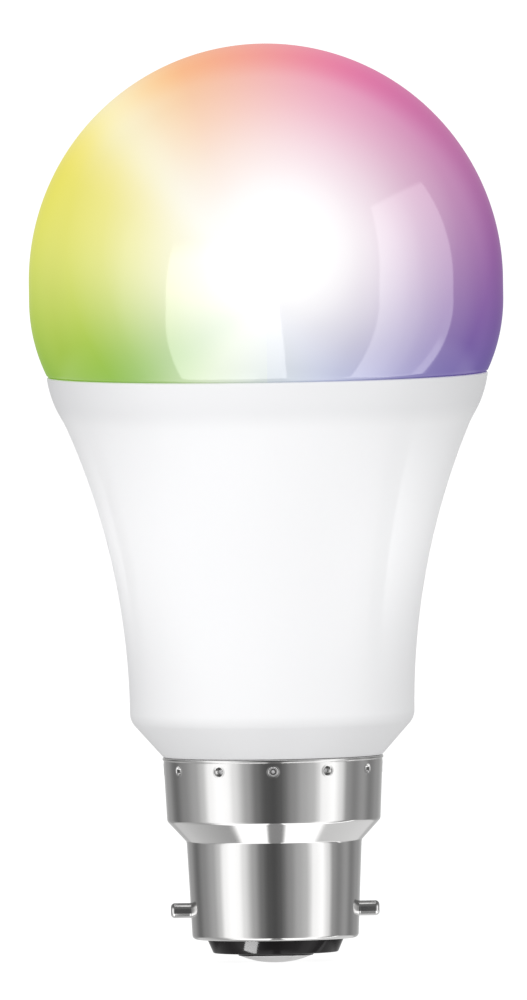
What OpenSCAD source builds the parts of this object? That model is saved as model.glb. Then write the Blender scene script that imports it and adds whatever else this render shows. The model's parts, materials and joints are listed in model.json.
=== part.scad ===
// Smart LED lamp with a two-pin bayonet cap. A milky dome closes a waisted housing. Inside are the LED board
// on its heat sink, the driver in its insulating sleeve and a wireless module whose aerial stands up into the
// dome. Millimetres. +Z is up and the lamp's axis is Z. z = 0 is the plane of the two contacts, and the pins
// lie along X.

/* [Dome] */
// Diameter of the diffuser dome at its widest point
dome_d = 61.2; // [60.8:0.1:61.6]
// Wall of the diffuser dome
dome_wall = 1.2; // [1:0.1:1.4]
// Height of the straight band at the dome's widest point
dome_band = 2.45; // [2.2:0.05:2.7]
// Height of the foot of that band above the seam
dome_rise = 9.5; // [9.2:0.1:9.8]
// Radius of the curve that draws the dome in below the band
dome_foot_curve = 22; // [21.5:0.1:22.5]

/* [Housing] */
// Height of the seam between the housing and the dome
seam_z = 75.9; // [75.7:0.1:76.1]
// Radius of the housing's collar at the seam
collar_r = 28.5; // [28.4:0.05:28.6]
// Radius of the curve that draws the collar in below the seam
collar_curve = 13.6; // [13.4:0.1:13.8]
// Radius of the housing at its waist
waist_r = 18.35; // [18.25:0.05:18.45]
// Height of the waist
waist_z = 32; // [31.8:0.1:32.2]
// Radius of the hollow curve of the housing's flank
flank_curve = 94; // [93:0.5:95]
// Wall of the housing
housing_wall = 1.6; // [1.4:0.1:1.7]

/* [Cap] */
// Height of the cap's top edge, where the housing stands on it
cap_top = 26.5; // [26.4:0.05:26.55]
// Radius of the cap's upper barrel below its bead
upper_barrel_r = 14.15; // [14.05:0.05:14.2]
// Radius of the cap's lower barrel at the bayonet pins
lower_barrel_r = 10.88; // [10.84:0.02:10.94]
// Thickness of the cap's sheet metal
cap_sheet = 0.4; // [0.3:0.05:0.45]
// Number of crimps that hold the cap on the housing
crimps = 12; // [6:1:16]
// Diameter of a bayonet pin
pin_d = 1.95; // [1.9:0.01:2]
// Distance across the tips of the two bayonet pins
pin_span = 26.9; // [26.6:0.1:27]
// Height of the bayonet pins
pin_z = 6.7; // [6.6:0.05:6.9]

/* [Light source] */
// Number of white LEDs in the outer ring
white_leds = 9; // [6:3:9]
// Number of colour LEDs in the inner ring
colour_leds = 4; // [2:1:4]
// Radius of the LED board
led_board_r = 24; // [23.8:0.1:24.1]

/* [Hidden] */
$fn = 96;
gap = 0.05;            // working gap between pieces that are pushed together
past = 1;              // how far a cutter runs past what it cuts

dome_r = dome_d / 2;
dome_low_z = seam_z + dome_rise;
dome_high_z = dome_low_z + dome_band;
skirt_r = 27;          // outside of the dome's skirt, inside the housing's rim
skirt_in = 25.8;
skirt_low = seam_z - 2.8;
skirt_ledge = 1.2;     // how far the dome's foot stands out over the skirt, onto the housing's rim
bead_z = seam_z - 2;   // snap bead on the skirt
bead_half = 0.3;       // half the bead's height
bead_out = 0.25;       // how far the bead stands out

neck_z = cap_top + gap;
collar_centre = [collar_r - sqrt(pow(collar_curve, 2) - pow(1.5, 2)), seam_z + 1.5];
crease_z = seam_z - 5.9;
rim_gap = 0.15;        // parting line under the dome
pocket_low = seam_z - 3;
foot_r = 14.15;        // radius of the housing where it stands on the cap
chamfer_slope = 0.888; // run over rise of the housing's lower chamfer
corner_z = neck_z + (waist_r - foot_r) / chamfer_slope;
corner_curve = 2.5;
spigot_low = 19.4;     // the spigot reaches down inside the cap
spigot_in = 12;
spigot_foot_r = 13.3;
spigot_top_r = 13.6;

plate_top = seam_z - 3.8;
plate_low = plate_top - 1.2;
skin = 1;              // wall of the heat sink's cup
cup_low = 36;
pad_top = plate_top + 0.2;
board_top = pad_top + 1.2;
screw_ring = 20.5;
screw_r = 1.15;
screw_head_r = 2.3;
screw_angles = [for (i = [0 : 2]) 180 / white_leds + 120 * i];   // midway between LEDs
white_ring = 18.5;
white_led_high = 0.8;
white_well = [1.1, 0.4];    // radius and depth of the well that holds the phosphor
colour_ring = 12;
colour_led_high = 1.5;
colour_well = [2, 0.5];     // the same, for the clear resin

sleeve_low = 19.6;
sleeve_step = [31, 35];     // heights between which the sleeve widens
sleeve_r = 15.3;
sleeve_neck_r = 11.7;
sleeve_wall = 0.85;
sleeve_top = 66;
driver_low = 20.5;
driver_top = 65.5;
driver_half = 0.6;     // half the driver board's thickness, about y = 0
module_y = 1.4;        // near face of the wireless module's board
module_w = 13;
header_y = -2.4;       // row of pins that feeds the LED board
header_pins_n = 6;
header_pitch = 2;
header_pin = 0.6;

crimp_z = 24.95;
crimp_r = 0.75;        // radius of a crimp at its mouth
crimp_deep = 0.6;      // how far a crimp is punched in
shoulder_high = 18.25;
shoulder_low = 15.65;
shoulder_foot_r = upper_barrel_r - 0.38;
cap_low = 2.95;        // lower edge of the cap's sheet metal
cap_edge = 0.6;        // rounding of that edge
pin_upset = 0.2;       // how much fatter a pin is where it passes through the barrel
cap_taper = 0.17;      // how much narrower the lower barrel is at that edge than at the pins
lip_r = 8.85;          // hole in the cap's lower lip
insulator_low = 1.15;
contact_y = 3.9;       // the contacts lie front and rear, square to the pins
contact_w = 9.2;
contact_d = 4.8;
contact_dome = 12.2;   // radius of the contact's crown
wire_r = 0.8;
lead_r = 0.3;          // leads of the parts on the driver board

white = [0.95, 0.95, 0.96];
steel = [0.78, 0.78, 0.8];
tin = [0.82, 0.81, 0.82];
board_green = [0.1, 0.35, 0.2];
black = [0.08, 0.08, 0.085];

// ---- shared shapes ----

module tube(outer, inner, low, high) {
    difference() {
        translate([0, 0, low]) cylinder(r = outer, h = high - low);
        translate([0, 0, low - past]) cylinder(r = inner, h = high - low + 2 * past);
    }
}

module block(low, high) {
    translate(low) cube(high - low);
}

// A rod or hole along Y from y0 to y1
module rod_y(x, z, r, y0, y1) {
    translate([x, y0, z]) rotate([-90, 0, 0]) cylinder(r = r, h = y1 - y0);
}

module at_each(angles, radius) {
    for (a = angles) rotate(a) translate([radius, 0, 0]) children();
}

// Part of a ring about a centre on the profile plane, between two heights
module arc_band(centre, outer, inner, low, high) {
    intersection() {
        translate(centre) difference() {
            circle(outer);
            circle(inner);
        }
        translate([0, low]) square([centre.x + outer + past, high - low]);
    }
}

function arc(centre, radius, from, to, steps) =
    [for (i = [0 : steps]) let (a = from + (to - from) * i / steps) centre + radius * [cos(a), sin(a)]];

// Radius of the flank at a height, moved inward by an inset
function flank_r(z, inset) =
    waist_r + flank_curve - sqrt(pow(flank_curve + inset, 2) - pow(z - waist_z, 2));

function unit(v) = v / norm(v);

// Round tube along a route: a ring of points square to the route at each of its points
module swept_tube(route, radius, sides) {
    last = len(route) - 1;
    rings = [for (i = [0 : last])
        let (along = unit(route[min(i + 1, last)] - route[max(i - 1, 0)]),
             across = unit(cross(along, [0, 1, 0.01])),
             up = cross(across, along))
        for (k = [0 : sides - 1])
            route[i] + radius * (across * cos(360 * k / sides) + up * sin(360 * k / sides))];
    walls = [for (i = [0 : last - 1]) for (k = [0 : sides - 1])
        [i * sides + k, (i + 1) * sides + k, (i + 1) * sides + (k + 1) % sides, i * sides + (k + 1) % sides]];
    ends = [[for (k = [0 : sides - 1]) k], [for (k = [sides - 1 : -1 : 0]) last * sides + k]];
    polyhedron(points = rings, faces = concat(walls, ends));
}

// ---- dome and housing ----

module diffuser_dome() {
    color(white) {
        rotate_extrude() {
            arc_band([0, dome_high_z], dome_r, dome_r - dome_wall, dome_high_z, dome_high_z + dome_r + past);
            translate([dome_r - dome_wall, dome_low_z]) square([dome_wall, dome_band]);
            arc_band([dome_r - dome_foot_curve, dome_low_z], dome_foot_curve, dome_foot_curve - dome_wall,
                     seam_z, dome_low_z);
        }
        tube(skirt_r + skirt_ledge, skirt_in, seam_z, seam_z + 1);
        tube(skirt_r, skirt_in, skirt_low, seam_z);
        tube(skirt_r + bead_out, skirt_r - 0.4, bead_z - bead_half, bead_z + bead_half);
    }
}

module dome_adhesive() {
    color([0.9, 0.9, 0.88]) tube(skirt_in - gap, led_board_r + 0.35, board_top - 0.7, board_top + 0.6);
}

module housing_cavity() {
    difference() {
        translate([0, waist_z]) square([skirt_in + 0.3, pocket_low - waist_z]);
        translate([waist_r + flank_curve, waist_z]) circle(flank_curve + housing_wall);
    }
    polygon([[0, neck_z], [spigot_in, neck_z], [waist_r - housing_wall, waist_z], [0, waist_z]]);
    translate([0, pocket_low]) square([skirt_r + 2 * gap, seam_z - pocket_low + past]);
    translate([0, bead_z - bead_half - 2 * gap])
        square([skirt_r + bead_out + 2 * gap, 2 * bead_half + 4 * gap]);
}

// What the lower chamfer and its rounded corner take off the housing's outside
module chamfer_cut() {
    lean = atan(chamfer_slope);
    centre = [waist_r - corner_curve, corner_z + corner_curve * tan(lean / 2)];
    beyond = waist_r + 9;
    polygon(concat([[beyond, centre.y]], arc(centre, corner_curve, 0, -lean, 6),
                   [[foot_r, neck_z], [foot_r, neck_z - past], [beyond, neck_z - past]]));
}

module housing() {
    color(white) difference() {
        rotate_extrude() difference() {
            union() {
                intersection() {
                    translate(collar_centre) circle(collar_curve);
                    translate([0, crease_z]) square([collar_r + past, seam_z - rim_gap - crease_z]);
                }
                difference() {
                    translate([0, neck_z]) square([collar_r, crease_z - neck_z]);
                    translate([waist_r + flank_curve, waist_z]) circle(flank_curve);
                    chamfer_cut();
                }
                polygon([[0, spigot_low], [spigot_foot_r, spigot_low], [spigot_top_r, neck_z], [0, neck_z]]);
            }
            housing_cavity();
            translate([0, spigot_low - past]) square([spigot_in, neck_z - spigot_low + 2 * past]);
        }
        at_each(ring_angles(crimps, -90), spigot_foot_r - 0.5)
            translate([0, 0, crimp_z]) rotate([0, 90, 0]) cylinder(r = crimp_r + 0.15, h = 1.5);
    }
}

// ---- heat sink and light source ----

module centre_opening(low, high) {
    block([-7.8, -4.2, low - past], [7.8, 4.2, high + past]);
}

module screw_holes(r, low, high) {
    at_each(screw_angles, screw_ring)
        translate([0, 0, low - past]) cylinder(r = r, h = high - low + 2 * past);
}

module heat_sink() {
    color([0.75, 0.76, 0.78]) difference() {
        rotate_extrude() {
            difference() {
                translate([0, cup_low]) square([skirt_in, plate_low - cup_low]);
                translate([waist_r + flank_curve, waist_z]) circle(flank_curve + housing_wall + gap);
                difference() {
                    translate([0, cup_low - past]) square([skirt_in, plate_low - cup_low + past]);
                    translate([waist_r + flank_curve, waist_z])
                        circle(flank_curve + housing_wall + gap + skin);
                }
            }
            translate([0, plate_low]) square([flank_r(plate_low, housing_wall + gap), plate_top - plate_low]);
        }
        centre_opening(plate_low, plate_top);
        screw_holes(screw_r + gap, plate_low, plate_top);
    }
}

module thermal_pad() {
    color([0.55, 0.6, 0.68]) difference() {
        translate([0, 0, plate_top]) cylinder(r = led_board_r - 0.4, h = pad_top - plate_top);
        centre_opening(plate_top, pad_top);
        screw_holes(screw_r + 0.25, plate_top, pad_top);
    }
}

module header_row() {
    for (i = [0 : header_pins_n - 1])
        translate([(i - (header_pins_n - 1) / 2) * header_pitch, header_y, 0]) children();
}

module led_board() {
    color([0.93, 0.94, 0.93]) difference() {
        translate([0, 0, pad_top]) cylinder(r = led_board_r, h = board_top - pad_top);
        block([-module_w / 2 - 0.3, module_y - 0.4, pad_top - past],
              [module_w / 2 + 0.3, module_y + 1.2, board_top + past]);
        header_row() translate([0, 0, pad_top - past]) cylinder(r = 0.5, h = board_top - pad_top + 2 * past);
        screw_holes(screw_r + 0.25, pad_top, board_top);
        for (x = [-1, 1]) translate([x * led_board_r, 0, pad_top - past]) cylinder(r = 1.2, h = 4);
    }
}

module led_board_screws() {
    color(steel) at_each(screw_angles, screw_ring) difference() {
        union() {
            translate([0, 0, board_top]) cylinder(r = screw_head_r, h = 1.1);
            translate([0, 0, board_top + 1.1]) cylinder(r1 = screw_head_r, r2 = screw_head_r - 0.6, h = 0.4);
            translate([0, 0, plate_low - 3]) cylinder(r = screw_r, h = board_top - plate_low + 3);
            translate([0, 0, plate_low - 4]) cylinder(r1 = 0.4, r2 = screw_r, h = 1);
        }
        for (turn = [0, 90]) rotate(turn)
            block([-1.3, -0.25, board_top + 0.7], [1.3, 0.25, board_top + 1.5 + past]);
    }
}

module led_package(size, height, well) {
    difference() {
        block([-size.x / 2, -size.y / 2, board_top], [size.x / 2, size.y / 2, board_top + height]);
        translate([0, 0, board_top + height - well[1]]) cylinder(r = well[0], h = well[1] + past);
        translate([size.x / 2, size.y / 2, board_top]) rotate(45) cube([0.7, 0.7, 3 * height], center = true);
    }
}

module led_fill(height, well) {
    translate([0, 0, board_top + height - well[1]]) cylinder(r = well[0], h = well[1]);
}

function ring_angles(count, start) = [for (i = [0 : count - 1]) start + 360 * i / count];

module white_led(i) {
    color(white) at_each([ring_angles(white_leds, 0)[i - 1]], white_ring)
        led_package([2.8, 3.5], white_led_high, white_well);
}

module white_led_phosphors() {
    color([0.95, 0.8, 0.25]) at_each(ring_angles(white_leds, 0), white_ring)
        led_fill(white_led_high, white_well);
}

module colour_led(i) {
    color(white) at_each([ring_angles(colour_leds, 45)[i - 1]], colour_ring)
        led_package([5, 5], colour_led_high, colour_well);
}

module colour_led_resins() {
    color([0.8, 0.85, 0.8]) at_each(ring_angles(colour_leds, 45), colour_ring)
        led_fill(colour_led_high, colour_well);
}

// ---- driver ----

module driver_sleeve() {
    rail_low = 37;
    rail_high = 63;
    color([0.9, 0.9, 0.86]) {
        rotate_extrude() polygon([
            [sleeve_neck_r - sleeve_wall, sleeve_low], [sleeve_neck_r, sleeve_low],
            [sleeve_neck_r, sleeve_step[0]], [sleeve_r, sleeve_step[1]],
            [sleeve_r, sleeve_top], [sleeve_r - sleeve_wall, sleeve_top],
            [sleeve_r - sleeve_wall, sleeve_step[1] + 0.4],
            [sleeve_neck_r - sleeve_wall, sleeve_step[0] + 0.4]]);
        for (side = [-1, 1], edge = [-1, 1])
            translate([side * 13.75, edge * (driver_half + 0.55), (rail_low + rail_high) / 2])
                cube([1.6, 0.8, rail_high - rail_low], center = true);
    }
}

module sleeve_lid() {
    color([0.9, 0.9, 0.86]) difference() {
        union() {
            translate([0, 0, sleeve_top]) cylinder(r = sleeve_r, h = 1);
            tube(sleeve_r - sleeve_wall - gap, sleeve_r - 2 * sleeve_wall, sleeve_top - 1.5, sleeve_top);
        }
        block([-module_w / 2 - 0.3, module_y - 0.3, sleeve_top - past],
              [module_w / 2 + 0.3, module_y + 2.9, sleeve_top + 2]);
        block([-6.6, header_y - 0.6, sleeve_top - past], [6.6, header_y + 0.6, sleeve_top + 2]);
        for (side = [-1, 1])
            translate([side * 13.9, 0, sleeve_top - 1]) cube([1.9, 2.4, 1.99], center = true);
    }
}

module driver_board() {
    neck_x = 10.2;
    wide_x = 14.1;
    color(board_green) difference() {
        translate([0, driver_half, 0]) rotate([90, 0, 0]) linear_extrude(2 * driver_half) polygon([
            [-neck_x, driver_low], [neck_x, driver_low], [neck_x, 33], [wide_x, 37], [wide_x, 63.5],
            [12.5, driver_top], [-12.5, driver_top], [-wide_x, 63.5], [-wide_x, 37], [-neck_x, 33]]);
        header_row() rod_y(0, 62.2, header_pin / 2 + 0.15, 0, 4);
        for (side = [-1, 1]) rod_y(side * 5, 23, 0.5, -past, past);
    }
}

// Radial capacitor standing along its own +Z, with a crimp groove near its foot and a scored vent on top
module can_capacitor(r, h) {
    difference() {
        cylinder(r = r, h = h);
        translate([0, 0, 1.2]) difference() {
            cylinder(r = r + past, h = 0.8);
            cylinder(r = r - 0.35, h = 0.8);
        }
        for (turn = [0, 90]) rotate(turn) block([-r * 0.6, -0.15, h - 0.2], [r * 0.6, 0.15, h + past]);
    }
}

module bulk_capacitor() {
    color([0.12, 0.14, 0.2]) {
        translate([0, 5.4, 34]) rotate([180, 0, 0]) can_capacitor(4, 13);
        for (x = [-1.25, 1.25]) {
            translate([x, 5.4, 34]) cylinder(r = lead_r, h = 1.5);
            rod_y(x, 35.2, lead_r, driver_half, 5.4);
        }
    }
}

module output_capacitor() {
    color([0.12, 0.2, 0.16]) {
        translate([-7, driver_half + 0.3, 54.5]) rotate([-90, 0, 0]) can_capacitor(3.15, 9);
        for (x = [-1.25, 1.25]) rod_y(x - 7, 54.5, lead_r, driver_half, driver_half + 0.4);
    }
}

module film_capacitor() {
    color([0.75, 0.15, 0.1]) {
        block([5.9, 1.2, 24.2], [9.3, 5, 33]);
        for (z = [26, 31]) rod_y(7.6, z, lead_r, driver_half, 1.3);
    }
}

transformer_z = 43.2;

module transformer_core() {
    color([0.2, 0.2, 0.21]) translate([0, 6, transformer_z]) difference() {
        cube([13, 5.6, 13], center = true);
        for (side = [-1, 1]) translate([side * 3.45, 0, 0]) cube([3.3, 8, 8.8], center = true);
    }
}

module transformer_bobbin() {
    color([0.15, 0.15, 0.16]) translate([0, 6, transformer_z]) difference() {
        union() {
            cube([5, 7, 8.6], center = true);
            for (end = [-1, 1]) translate([0, 0, end * 4.0]) cube([9.8, 10, 0.7], center = true);
        }
        cube([3.7, 5.7, 20], center = true);
    }
}

module transformer_winding() {
    color([0.93, 0.78, 0.2]) translate([0, 6, transformer_z]) difference() {
        intersection() {
            cube([9.4, 9.6, 7.2], center = true);
            cylinder(r = 6.2, h = 9, center = true);
        }
        cube([5.05, 7.05, 20], center = true);
    }
}

choke_at = [7, 54.5];

module choke_core() {
    color([0.2, 0.2, 0.21]) {
        rod_y(choke_at.x, choke_at.y, 3.5, driver_half + 0.3, driver_half + 1.3);
        rod_y(choke_at.x, choke_at.y, 1.6, driver_half + 1.3, driver_half + 6.1);
        rod_y(choke_at.x, choke_at.y, 3.5, driver_half + 6.1, driver_half + 7.1);
        for (x = [-2, 2]) rod_y(choke_at.x + x, choke_at.y, lead_r, driver_half, driver_half + 0.4);
    }
}

module choke_winding() {
    color([0.72, 0.4, 0.2]) difference() {
        rod_y(choke_at.x, choke_at.y, 3.1, driver_half + 1.3, driver_half + 6.1);
        rod_y(choke_at.x, choke_at.y, 1.6, 0, 9);
    }
}

module varistor() {
    color([0.1, 0.3, 0.6]) {
        translate([-0.1, 5, 54.6]) rotate([0, 90, 0]) cylinder(r = 3.5, h = 3.2, center = true);
        for (z = [52.6, 56.6]) rod_y(-0.1, z, lead_r, driver_half, 3);
    }
}

module fusible_resistor() {
    color([0.35, 0.5, 0.4]) translate([-6.9, 3.2, 0]) {
        translate([0, 0, 24.5]) cylinder(r = 1.3, h = 6.5);
        for (z = [24.5, 29.7]) translate([0, 0, z]) cylinder(r = 1.6, h = 1.3);
        for (z = [23.3, 32.2]) {
            translate([0, 0, min(z, 31)]) cylinder(r = lead_r, h = max(z, 24.5) - min(z, 31));
            translate([0, 0, z]) rotate([90, 0, 0]) cylinder(r = lead_r, h = 3.2 - driver_half);
        }
    }
}

// Flat chip package on the driver board's front face, with gull-wing legs along its two long sides
module flat_package(x, z, w, h, thick, legs, pitch) {
    face = -driver_half;
    block([x - w / 2, face - 0.1 - thick, z - h / 2], [x + w / 2, face - 0.1, z + h / 2]);
    for (side = [-1, 1], i = [0 : legs - 1]) {
        leg_x = x + (i - (legs - 1) / 2) * pitch;
        translate([leg_x, face - 0.1, z + side * (h / 2 + 0.45)]) cube([0.42, 0.2, 1.1], center = true);
        translate([leg_x, face - 0.1 - thick / 4, z + side * (h / 2 + 0.05)])
            cube([0.42, thick / 2, 0.3], center = true);
    }
}

module bridge_rectifier() {
    color(black) flat_package(0, 27.5, 4.7, 3.9, 2.4, 2, 2.54);
}

module switching_ic() {
    color(black) flat_package(-5.5, 42, 4.9, 3.9, 1.45, 4, 1.27);
}

module dimming_ic() {
    color(black) flat_package(1.5, 50.5, 9.9, 3.9, 1.45, 8, 1.27);
}

module chip_parts() {
    places = [[-7, 49], [-7, 52], [-7, 55], [9, 47], [9, 44], [3, 42], [3, 39.5], [6, 42], [6, 39.5],
              [-4, 34], [0, 34], [4, 34], [-6, 29], [6, 29]];
    color([0.25, 0.22, 0.2]) for (p = places)
        block([p.x - 0.8, -driver_half - 0.5, p.y - 0.4], [p.x + 0.8, -driver_half, p.y + 0.4]);
}

module led_header_body() {
    color(black) difference() {
        block([-6.2, header_y - 1.25, 61], [6.2, header_y + 1.25, 63.4]);
        header_row() translate([0, 0, 62.2]) {
            cube([header_pin, header_pin, 9], center = true);
            translate([0, 2, 0]) cube([header_pin, 4, header_pin], center = true);
        }
    }
}

module led_header_pins() {
    color([0.8, 0.68, 0.35]) header_row() {
        block([-header_pin / 2, -header_pin / 2, 61.9], [header_pin / 2, header_pin / 2, board_top + 1.2]);
        block([-header_pin / 2, 0, 61.9], [header_pin / 2, 1 - header_y, 61.9 + header_pin]);
    }
}

wireless_low = 59.2;
wireless_top = 84;

module wireless_board() {
    color([0.05, 0.12, 0.2])
        block([-module_w / 2, module_y, wireless_low], [module_w / 2, module_y + 0.8, wireless_top]);
}

module shield_can() {
    color(steel) difference() {
        block([-5.2, module_y + 0.8, 61.6], [5.2, module_y + 2.6, 70.4]);
        block([-4.9, module_y + 0.7, 61.9], [4.9, module_y + 2.3, 70.1]);
        for (x = [-3, 0, 3], z = [64, 68]) rod_y(x, z, 0.35, module_y + 2, module_y + 4);
    }
}

module aerial_trace() {
    turn_w = 1.6;
    line = 0.5;
    face = module_y + 0.8;
    color([0.85, 0.65, 0.3]) {
        for (i = [0 : 6])
            block([-5 + i * turn_w, face, 78.2], [-5 + i * turn_w + line, face + 0.1, 82.6]);
        for (i = [0 : 5]) {
            z = i % 2 == 0 ? 82.6 - line : 78.2;
            block([-5 + i * turn_w, face, z], [-5 + (i + 1) * turn_w + line, face + 0.1, z + line]);
        }
    }
}

module module_pins() {
    color([0.8, 0.68, 0.35]) for (i = [0 : 4])
        block([-4.3 + i * 2, driver_half, 60.2], [-3.7 + i * 2, module_y, 60.8]);
}

// ---- wires to the contacts ----

// Cubic curve from one point to another that leaves and arrives going straight down
function drop_point(a, b, reach, t) =
    pow(1 - t, 3) * a + 3 * pow(1 - t, 2) * t * (a - [0, 0, reach])
    + 3 * (1 - t) * t * t * (b + [0, 0, reach]) + pow(t, 3) * b;

module contact_wire(side) {
    from = [side * 5, side * (driver_half + wire_r + 0.02), 23.8];
    to = [0, side * contact_y, 5.3];
    swept_tube([for (i = [0 : 18]) drop_point(from, to, 8, i / 18)], wire_r, 10);
}

module live_wire() {
    color([0.45, 0.22, 0.1]) contact_wire(-1);
}

module neutral_wire() {
    color([0.1, 0.25, 0.6]) contact_wire(1);
}

// ---- cap ----

// Outside of the cap's sheet metal from its lower lip to its bead, moved inward by an inset
function cap_side(inset) = concat(
    arc([lower_barrel_r - cap_taper - cap_edge, cap_low + cap_edge], cap_edge - inset, -90, 0, 4),
    [[lower_barrel_r + 0.1 - inset, pin_z + 2], [lower_barrel_r + 0.4 - inset, shoulder_low - 0.3]],
    [[lower_barrel_r + 0.5 - inset, shoulder_low + 0.4 * inset]],
    arc([shoulder_foot_r - 0.9, shoulder_high + 0.37], 0.9 - inset, -43, -2, 4),
    [[upper_barrel_r - inset, cap_top - 0.45]]);

module cap_shell() {
    color(steel) difference() {
        union() {
            rotate_extrude() polygon(concat(
                [[lip_r, cap_low]], cap_side(0),
                [[upper_barrel_r + 0.1, cap_top - 0.3], [upper_barrel_r + 0.1, cap_top],
                 [upper_barrel_r - cap_sheet, cap_top]],
                reversed(cap_side(cap_sheet)),
                [[lip_r, cap_low + cap_sheet]]));
            at_each(ring_angles(crimps, -90), upper_barrel_r - crimp_deep - 0.45)
                translate([0, 0, crimp_z]) rotate([0, 90, 0]) cylinder(r = crimp_r, h = 0.8);
        }
        at_each(ring_angles(crimps, -90), upper_barrel_r - crimp_deep)
            translate([0, 0, crimp_z]) rotate([0, 90, 0])
                cylinder(r1 = 0.25, r2 = crimp_r, h = crimp_deep + 0.2);
        for (side = [-1, 1]) translate([side * lower_barrel_r, 0, pin_z]) rotate([0, 90, 0])
            cylinder(r = pin_d / 2 + pin_upset, h = 3, center = true);
    }
}

function reversed(list) = [for (i = [len(list) - 1 : -1 : 0]) list[i]];

module bayonet_pin(side) {
    tip = pin_span / 2;
    root = 9.6;            // the flange inside the barrel starts here
    flange_r = 1.5;
    swell = pin_d / 2 + pin_upset;
    tip_round = 0.4;
    color(steel) rotate(side > 0 ? 0 : 180) translate([0, 0, pin_z]) rotate([0, 90, 0])
        rotate_extrude() polygon(concat(
            [[0, root], [flange_r, root], [flange_r, root + 0.6], [swell, root + 0.6]],
            [[swell, lower_barrel_r + 0.12], [pin_d / 2, lower_barrel_r + 0.18]],
            arc([pin_d / 2 - tip_round, tip - tip_round], tip_round, 0, 90, 4), [[0, tip]]));
}

// Footprint of a contact, long across the lamp
module contact_outline(grow) {
    r = contact_d / 2 + grow;
    straight = contact_w - contact_d;
    square([straight, 2 * r], center = true);
    for (side = [-1, 1]) translate([side * straight / 2, 0]) circle(r);
}

module cap_insulator() {
    seat = cap_low + cap_sheet + gap;
    face_r = 7.95;
    neck_r = 8.8;
    flange_r = 10;
    top = 4.7;
    boss_high = 0.25;      // how far a boss round a contact stands out, and how wide it is
    color(black) difference() {
        union() {
            rotate_extrude() polygon([
                [0, insulator_low], [face_r, insulator_low], [face_r + 0.25, insulator_low + 0.25],
                [neck_r, cap_low], [neck_r, seat], [flange_r, seat], [flange_r, top], [0, top]]);
            for (side = [-1, 1]) translate([0, side * contact_y, insulator_low - boss_high])
                linear_extrude(2 * boss_high) contact_outline(boss_high);
        }
        for (side = [-1, 1]) translate([0, side * contact_y, 0]) {
            translate([0, 0, -past]) linear_extrude(insulator_low + 0.1 + past) contact_outline(0);
            translate([0, 0, -past]) cylinder(r = 1.3, h = 8);
        }
    }
}

module contact(side) {
    color(tin) translate([0, side * contact_y, 0]) difference() {
        union() {
            intersection() {
                linear_extrude(insulator_low + 0.1) contact_outline(0);
                translate([0, 0, contact_dome - 0.05]) sphere(contact_dome);
            }
            translate([0, 0, 0.9]) cylinder(r = 1.25, h = 4.1);
        }
        translate([0, 0, 3.2]) cylinder(r = wire_r, h = 3);
    }
}

// ---- what is drawn ----

diffuser_dome();
dome_adhesive();
housing();
heat_sink();
thermal_pad();
led_board();
led_board_screws();
for (i = [1 : white_leds]) white_led(i);
white_led_phosphors();
for (i = [1 : colour_leds]) colour_led(i);
colour_led_resins();
driver_sleeve();
sleeve_lid();
driver_board();
bulk_capacitor();
output_capacitor();
film_capacitor();
transformer_core();
transformer_bobbin();
transformer_winding();
choke_core();
choke_winding();
varistor();
fusible_resistor();
bridge_rectifier();
switching_ic();
dimming_ic();
chip_parts();
led_header_body();
led_header_pins();
wireless_board();
shield_can();
aerial_trace();
module_pins();
live_wire();
neutral_wire();
cap_shell();
bayonet_pin(-1);  // bayonet_pin_left
bayonet_pin(1);  // bayonet_pin_right
cap_insulator();
contact(-1);  // contact_front
contact(1);  // contact_rear
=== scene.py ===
import json
import math

import bpy
from mathutils import Matrix, Vector


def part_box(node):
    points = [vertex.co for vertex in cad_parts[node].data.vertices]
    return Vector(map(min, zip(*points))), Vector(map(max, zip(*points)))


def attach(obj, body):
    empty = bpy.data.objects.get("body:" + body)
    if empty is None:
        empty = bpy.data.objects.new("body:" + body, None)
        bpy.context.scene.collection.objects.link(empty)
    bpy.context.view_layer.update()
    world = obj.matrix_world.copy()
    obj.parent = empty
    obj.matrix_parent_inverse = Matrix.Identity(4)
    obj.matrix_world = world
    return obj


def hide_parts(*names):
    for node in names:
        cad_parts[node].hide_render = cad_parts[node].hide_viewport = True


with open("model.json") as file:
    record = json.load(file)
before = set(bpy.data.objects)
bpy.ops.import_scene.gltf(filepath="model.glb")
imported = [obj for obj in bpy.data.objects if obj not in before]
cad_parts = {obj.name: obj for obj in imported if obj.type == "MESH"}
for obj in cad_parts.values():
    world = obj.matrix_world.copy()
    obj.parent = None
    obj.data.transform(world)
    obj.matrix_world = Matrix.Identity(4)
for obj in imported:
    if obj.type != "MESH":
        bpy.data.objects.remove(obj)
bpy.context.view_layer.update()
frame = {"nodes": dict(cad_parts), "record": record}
scene = bpy.context.scene
mm = 0.001
print("frame loaded:", len(frame["nodes"]), "CAD nodes")


class Wire:
    # one output of a shader node; sums on it add Math nodes
    def __init__(self, sheet, socket):
        self.sheet = sheet
        self.socket = socket

    def __add__(self, other):
        return self.sheet.maths("ADD", self, other)

    def __radd__(self, other):
        return self.sheet.maths("ADD", other, self)

    def __sub__(self, other):
        return self.sheet.maths("SUBTRACT", self, other)

    def __rsub__(self, other):
        return self.sheet.maths("SUBTRACT", other, self)

    def __mul__(self, other):
        return self.sheet.maths("MULTIPLY", self, other)

    def __rmul__(self, other):
        return self.sheet.maths("MULTIPLY", other, self)

    def __truediv__(self, other):
        return self.sheet.maths("DIVIDE", self, other)

    def __pow__(self, other):
        return self.sheet.maths("POWER", self, other)


def asColour(value):
    # a wire as it is, a grey or a colour with its fourth number
    if isinstance(value, Wire):
        return value
    if isinstance(value, (int, float)):
        return (value, value, value, 1)
    return (*value, 1)


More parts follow.
